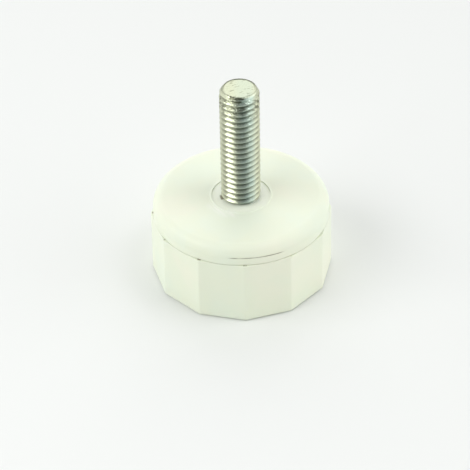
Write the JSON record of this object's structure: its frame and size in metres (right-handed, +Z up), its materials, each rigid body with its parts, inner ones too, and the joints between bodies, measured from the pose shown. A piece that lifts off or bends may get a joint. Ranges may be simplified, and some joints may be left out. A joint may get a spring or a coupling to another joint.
{
  "type": "appliance leveling foot",
  "caption": "Leveling foot for an appliance: threaded steel stud moulded upright into a twelve-sided plastic base with a round rim and a cored, ribbed underside.",
  "frame": {"origin": "centre of the sole, on the floor plane", "axes": "+Z up along the stud, out of the deck; +X towards one corner of the twelve-sided skirt"},
  "size_m": [0.037, 0.037, 0.044],
  "materials": {
    "nylon": "natural off-white nylon, as moulded, faintly soiled along the edges",
    "zinc_plated_steel": "rolled thread, bright zinc plate with a faint yellow and blue passivation"
  },
  "bodies": {
    "root": {"base": "nylon", "stud": "zinc_plated_steel"}
  },
  "joints": []
}
